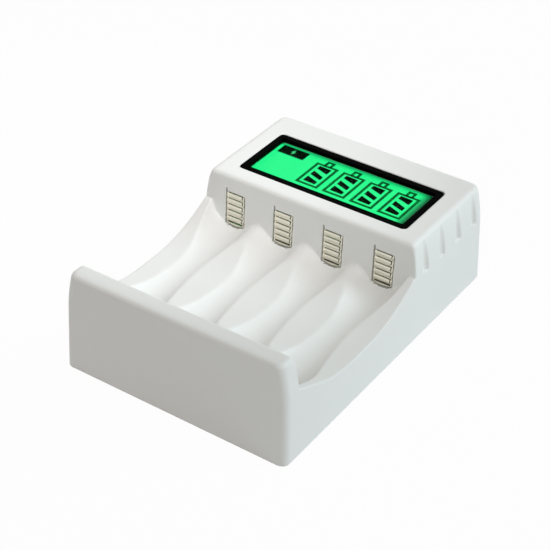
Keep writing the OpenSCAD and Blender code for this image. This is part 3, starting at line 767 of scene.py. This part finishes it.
# Finishes by the slots of the record, then those of the display's marks.
# Each is given its colour, its spread, its range of roughness, its grain and the grain's depth in metres.
finishes = {
    "shell_white": paint_glow_on_lip(speckled("shell_white", (0.9, 0.905, 0.895), 0.004, (0.42, 0.5), 2600, 3e-6)),
    "cover_white": speckled("cover_white", (0.82, 0.825, 0.815), 0.006, (0.48, 0.58), 1800, 8e-6),
    "foot_rubber": speckled("foot_rubber", (0.03, 0.03, 0.032), 0.15, (0.75, 0.9), 1500, 1.5e-5),
    "screw_steel": speckled("screw_steel", (0.6, 0.6, 0.62), 0.05, (0.28, 0.4), 2500, 3e-6, 1.0),
    "board_green": speckled("board_green", (0.02, 0.16, 0.07), 0.12, (0.25, 0.4), 900, 6e-6),
    "frame_black": speckled("frame_black", (0.001,) * 3, 0.2, (0.35, 0.45), 2200, 1e-6, shine=0.005),
    "lens_clear": clear_lens(),
    "display_green": display_light(),
    "guide_clear": speckled("guide_clear", (0.8, 0.9, 0.83), 0.02, (0.1, 0.2), 800, 2e-6),
    "led_resin": speckled("led_resin", (0.8, 0.72, 0.36), 0.06, (0.15, 0.25), 1500, 2e-6),
    "connector_grey": speckled("connector_grey", (0.2, 0.21, 0.23), 0.1, (0.6, 0.75), 1800, 8e-6),
    "pin_brass": brushed("pin_brass", (0.78, 0.6, 0.28), 0.28, (1, 1, 0.06)),
    "black_resin": speckled("black_resin", (0.015, 0.015, 0.017), 0.15, (0.45, 0.6), 1600, 8e-6),
    "ferrite": speckled("ferrite", (0.05, 0.05, 0.053), 0.2, (0.6, 0.75), 1300, 1.5e-5),
    "can_aluminium": brushed("can_aluminium", (0.75, 0.76, 0.78), 0.3, (1, 1, 0.06)),
    "socket_steel": brushed("socket_steel", (0.66, 0.66, 0.68), 0.3, (1, 0.06, 1)),
    "contact_nickel": brushed("contact_nickel", (0.74, 0.71, 0.6), 0.42, (0.06, 1, 1)),
    "spring_steel": brushed("spring_steel", (0.72, 0.71, 0.68), 0.3, (1, 0.06, 0.06)),
    "display_lines": speckled("display_lines", (0.001, 0.12, 0.02), 0.1, (0.5, 0.6), 900, 1e-6, shine=0.01),
    "display_bars": speckled(
        "display_bars", (0.0005, 0.004, 0.001), 0.1, (0.5, 0.6), 900, 1e-6, shine=0.01
    ),
    "display_bolt": glow_mark(),
}

for entry in frame["record"]["subparts"]:
    node = frame["nodes"][entry["node"]]
    node.data.materials.clear()
    node.data.materials.append(finishes[entry["material_slot"]])

skin = make_housing()
skin.data.materials.append(finishes["shell_white"])
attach(skin, ROOT)
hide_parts("top_shell")
display_marks()

# Camera at the photograph's place
AZIMUTH = math.radians(34.91)
ELEVATION = math.radians(36.39)
DISTANCE = 0.43144
AIM = np.array([-4.52, 3.69, 10.69]) * MM
IMAGE_PX = 550
FOCAL_PX = 1584.69
SENSOR = 36.0

away = np.array([
    math.sin(AZIMUTH) * math.cos(ELEVATION),
    -math.cos(AZIMUTH) * math.cos(ELEVATION),
    math.sin(ELEVATION),
])
right = np.array([math.cos(AZIMUTH), math.sin(AZIMUTH), 0])
lens = bpy.data.cameras.new("camera")
lens.sensor_width = SENSOR
lens.lens = FOCAL_PX / IMAGE_PX * SENSOR
lens.clip_start = 0.01
camera = bpy.data.objects.new("camera", lens)
camera.matrix_world = Matrix.Translation(AIM + away * DISTANCE) @ Matrix(
    np.stack([right, np.cross(away, right), away], 1).tolist()
).to_4x4()
bpy.context.scene.collection.objects.link(camera)
bpy.context.scene.camera = camera


def place_lamp(lamp, place, aim):
    """Puts a lamp at a place in metres, facing a point."""
    piece = bpy.data.objects.new(lamp.name, lamp)
    facing = (Vector(aim) - Vector(place)).to_track_quat("-Z", "Y")
    piece.matrix_world = Matrix.Translation(place) @ facing.to_matrix().to_4x4()
    bpy.context.scene.collection.objects.link(piece)


# A wide lamp far off at the back right, and a soft cone from above on the right that favours the left half
side = bpy.data.lights.new("side_lamp", "AREA")
side.size = 0.4
side.energy = 5.05
side.color = (0.723, 0.929, 1.0)
place_lamp(side, (0.9, 0.54, 0.6), (0, 0, 0))
cone = bpy.data.lights.new("cone_lamp", "SPOT")
cone.spot_size = math.radians(30)
cone.spot_blend = 1.0
cone.shadow_soft_size = 0.03
cone.energy = 2.45
cone.color = (1.0, 0.99, 1.0)
place_lamp(cone, (0.15, 0.0, 0.34), (-0.06, 0.015, 0.02))


def plain_or_seen(tree, seen, plain, output):
    """Shows one shader to the camera, to reflections and through glass, and the other to light."""
    path = tree.nodes.new("ShaderNodeLightPath")
    either = [path.outputs[f"Is {kind} Ray"] for kind in ("Camera", "Glossy", "Transmission")]
    total = either[0]
    for more in either[1:]:
        both = tree.nodes.new("ShaderNodeMath")
        both.operation = "MAXIMUM"
        tree.links.new(total, both.inputs[0])
        tree.links.new(more, both.inputs[1])
        total = both.outputs["Value"]
    mix = tree.nodes.new("ShaderNodeMixShader")
    tree.links.new(total, mix.inputs["Fac"])
    tree.links.new(plain, mix.inputs[1])
    tree.links.new(seen, mix.inputs[2])
    tree.links.new(mix.outputs["Shader"], output)


# Soft light from all around, which the camera sees as a plain white backdrop
AMBIENT = 0.476
world = bpy.data.worlds.new("studio")
world.use_nodes = True
plain_sky = world.node_tree.nodes["Background"]
plain_sky.inputs["Color"].default_value = (1.0, 0.965, 0.905, 1)
plain_sky.inputs["Strength"].default_value = AMBIENT
seen_sky = world.node_tree.nodes.new("ShaderNodeBackground")
seen_sky.inputs["Color"].default_value = (1, 1, 1, 1)
plain_or_seen(
    world.node_tree,
    seen_sky.outputs["Background"],
    plain_sky.outputs["Background"],
    world.node_tree.nodes["World Output"].inputs["Surface"],
)
bpy.context.scene.world = world

# White floor, which keeps a faint shadow under a veil of its own light
FLOOR_HALF = 3.0
FLOOR_VEIL = 0.97
corners = FLOOR_HALF * np.array([(-1, -1, 0), (1, -1, 0), (1, 1, 0), (-1, 1, 0)])
floor_mesh = bpy.data.meshes.new("floor")
floor_mesh.from_pydata(corners.tolist(), [], [(0, 1, 2, 3)])
floor = bpy.data.objects.new("floor", floor_mesh)
bpy.context.scene.collection.objects.link(floor)
floor_paint = bpy.data.materials.new("floor_white")
floor_paint.use_nodes = True
floor_tree = floor_paint.node_tree
diffuse = floor_tree.nodes.new("ShaderNodeBsdfDiffuse")
diffuse.inputs["Color"].default_value = (0.8, 0.8, 0.8, 1)
glow = floor_tree.nodes.new("ShaderNodeEmission")
glow.inputs["Color"].default_value = (1, 1, 1, 1)
veil = floor_tree.nodes.new("ShaderNodeMixShader")
veil.inputs["Fac"].default_value = FLOOR_VEIL
floor_tree.links.new(diffuse.outputs["BSDF"], veil.inputs[1])
floor_tree.links.new(glow.outputs["Emission"], veil.inputs[2])
plain_or_seen(
    floor_tree,
    veil.outputs["Shader"],
    diffuse.outputs["BSDF"],
    floor_tree.nodes["Material Output"].inputs["Surface"],
)
floor_mesh.materials.append(floor_paint)

bpy.context.scene.view_settings.view_transform = "Standard"
